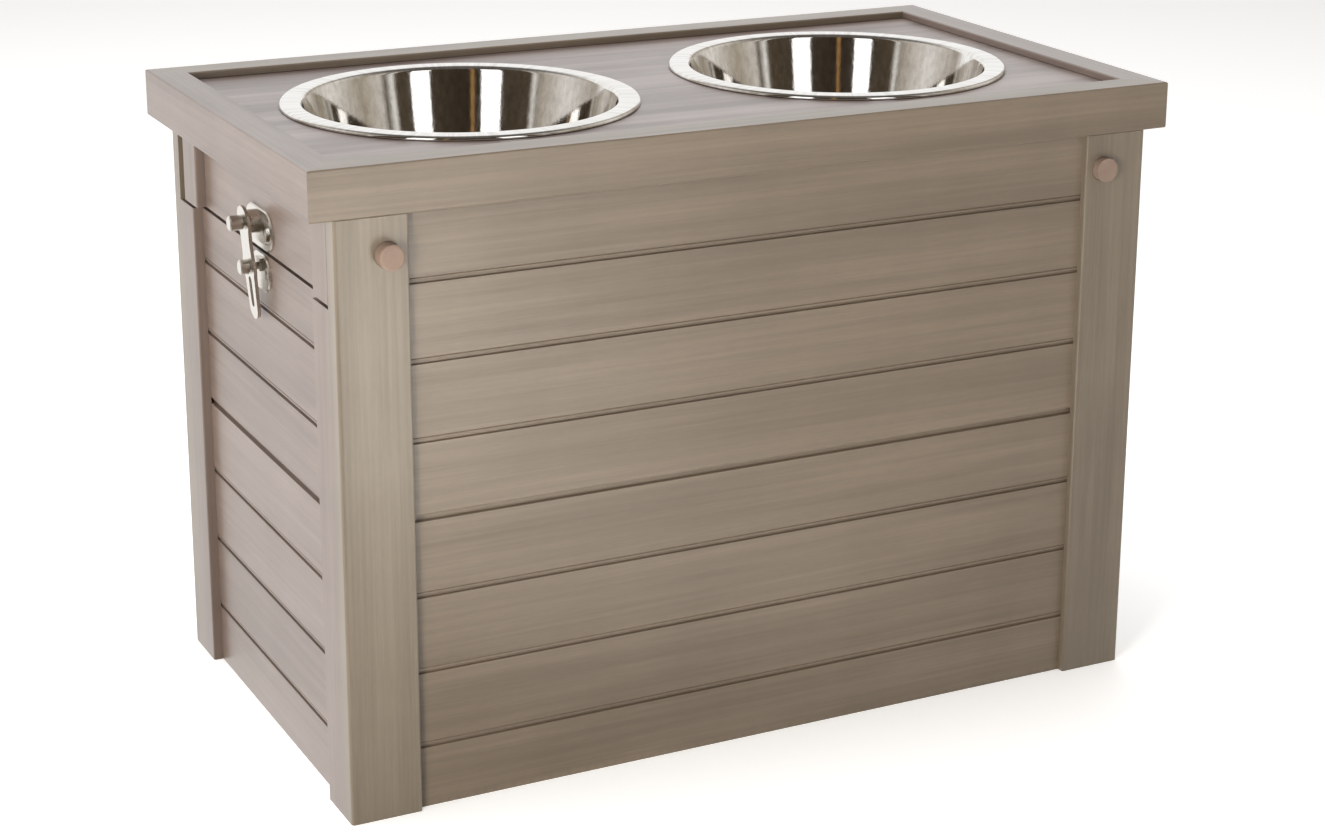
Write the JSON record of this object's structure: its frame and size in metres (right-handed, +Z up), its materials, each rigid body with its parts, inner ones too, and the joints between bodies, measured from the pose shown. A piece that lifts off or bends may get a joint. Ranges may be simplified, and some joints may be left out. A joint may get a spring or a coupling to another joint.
{
  "type": "elevated dog feeder with storage",
  "caption": "Raised feeding station for a dog: a planked box with a lift-off lid that carries round steel bowls, side latches and storage space inside.",
  "frame": {"origin": "on the floor under the middle of the cabinet", "axes": "+X to the right along the length, -Y to the front, +Z up"},
  "size_m": [0.6, 0.341, 0.414],
  "materials": {
    "composite_board": "satin",
    "composite_top": "satin",
    "framing": "matte",
    "peg": "satin",
    "bowl_steel": "polished",
    "latch_nickel": "polished",
    "screw_steel": "satin"
  },
  "bodies": {
    "cabinet": {"batten_screws": "screw_steel", "floor_cleats": "framing", "floor_panel": "framing", "front_left_batten": "framing", "front_left_stile": "composite_board", "front_left_strip": "composite_board", "front_lower_board": "composite_board", "front_right_batten": "framing", "front_right_stile": "composite_board", "front_right_strip": "composite_board", "front_upper_board": "composite_board", "keeper_screws": "screw_steel", "left_latch_keeper": "latch_nickel", "left_lower_board": "composite_board", "left_upper_board": "composite_board", "locking_pegs": "peg", "rear_left_batten": "framing", "rear_left_stile": "composite_board", "rear_left_strip": "composite_board", "rear_lower_board": "composite_board", "rear_right_batten": "framing", "rear_right_stile": "composite_board", "rear_right_strip": "composite_board", "rear_upper_board": "composite_board", "right_latch_keeper": "latch_nickel", "right_lower_board": "composite_board", "right_upper_board": "composite_board"},
    "top": {"corner_keys": "framing", "front_left_cheek_strip": "composite_board", "front_rail": "composite_board", "front_right_cheek_strip": "composite_board", "glue_blocks": "framing", "left_cheek": "composite_board", "left_latch_plate": "latch_nickel", "left_latch_stud": "latch_nickel", "left_lid_cleat": "framing", "left_rail": "composite_board", "plate_screws": "screw_steel", "rear_left_cheek_strip": "composite_board", "rear_rail": "composite_board", "rear_right_cheek_strip": "composite_board", "right_cheek": "composite_board", "right_latch_plate": "latch_nickel", "right_latch_stud": "latch_nickel", "right_lid_cleat": "framing", "right_rail": "composite_board", "top_panel": "composite_top"},
    "left_bowl": {"left_bowl": "bowl_steel"},
    "right_bowl": {"right_bowl": "bowl_steel"},
    "left_latch_arm": {"left_latch_arm": "latch_nickel", "left_latch_knob": "latch_nickel"},
    "right_latch_arm": {"right_latch_arm": "latch_nickel", "right_latch_knob": "latch_nickel"}
  },
  "joints": [
    {"name": "top_lift", "type": "slide", "parent": "cabinet", "child": "top", "axis": [0, 0, 1], "range_m": [0, 0.12]},
    {"name": "left_bowl_lift", "type": "slide", "parent": "top", "child": "left_bowl", "axis": [0, 0, 1], "range_m": [0, 0.09]},
    {"name": "right_bowl_lift", "type": "slide", "parent": "top", "child": "right_bowl", "axis": [0, 0, 1], "range_m": [0, 0.09]},
    {"name": "left_latch_swing", "type": "hinge", "parent": "top", "child": "left_latch_arm", "pos_m": [-0.2878, -0.006, 0.3468], "axis": [1, 0, 0], "range_deg": [0, 95]},
    {"name": "right_latch_swing", "type": "hinge", "parent": "top", "child": "right_latch_arm", "pos_m": [0.2878, -0.006, 0.3468], "axis": [1, 0, 0], "range_deg": [0, 95]}
  ]
}
